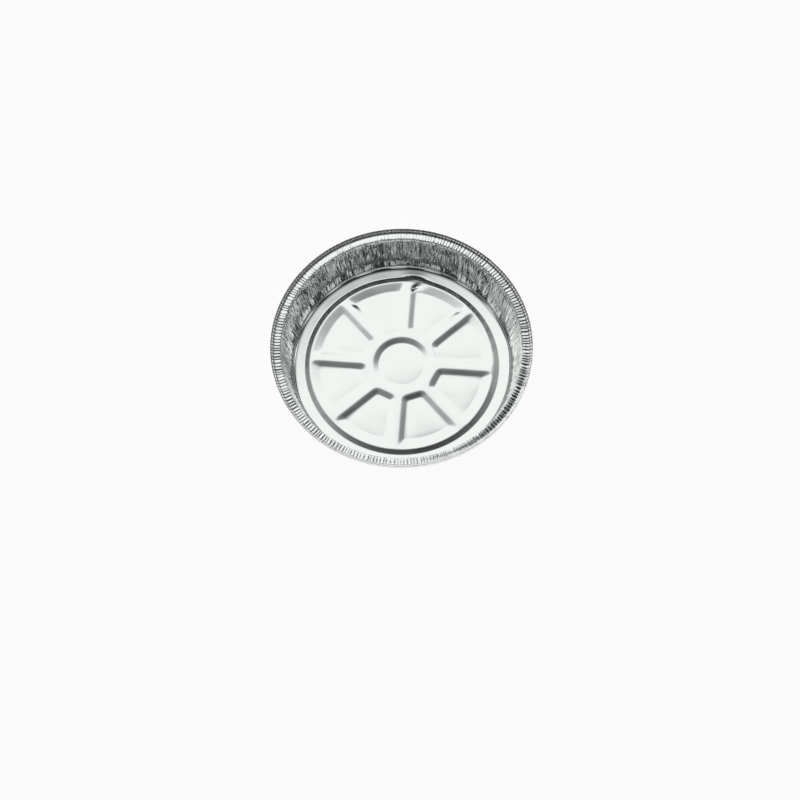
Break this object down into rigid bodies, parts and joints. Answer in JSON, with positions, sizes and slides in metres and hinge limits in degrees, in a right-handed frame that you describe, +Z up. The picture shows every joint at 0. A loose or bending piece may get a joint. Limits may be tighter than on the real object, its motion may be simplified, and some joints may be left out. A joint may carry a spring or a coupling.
{
  "type": "foil pie tin",
  "caption": "Round disposable foil baking tin with a spoked rib pattern pressed into its floor, a pleated sloping wall and a crimped rim that is rolled outward and under.",
  "frame": {"origin": "on the table, under the middle of the floor", "axes": "+Z up out of the tin along its axis; +X and +Y along two of the floor's spokes"},
  "size_m": [0.2284, 0.2284, 0.044],
  "materials": {
    "foil": "bright rolled foil, crimped and lightly wrinkled"
  },
  "bodies": {
    "root": {"pie_tin": "foil"}
  },
  "joints": []
}
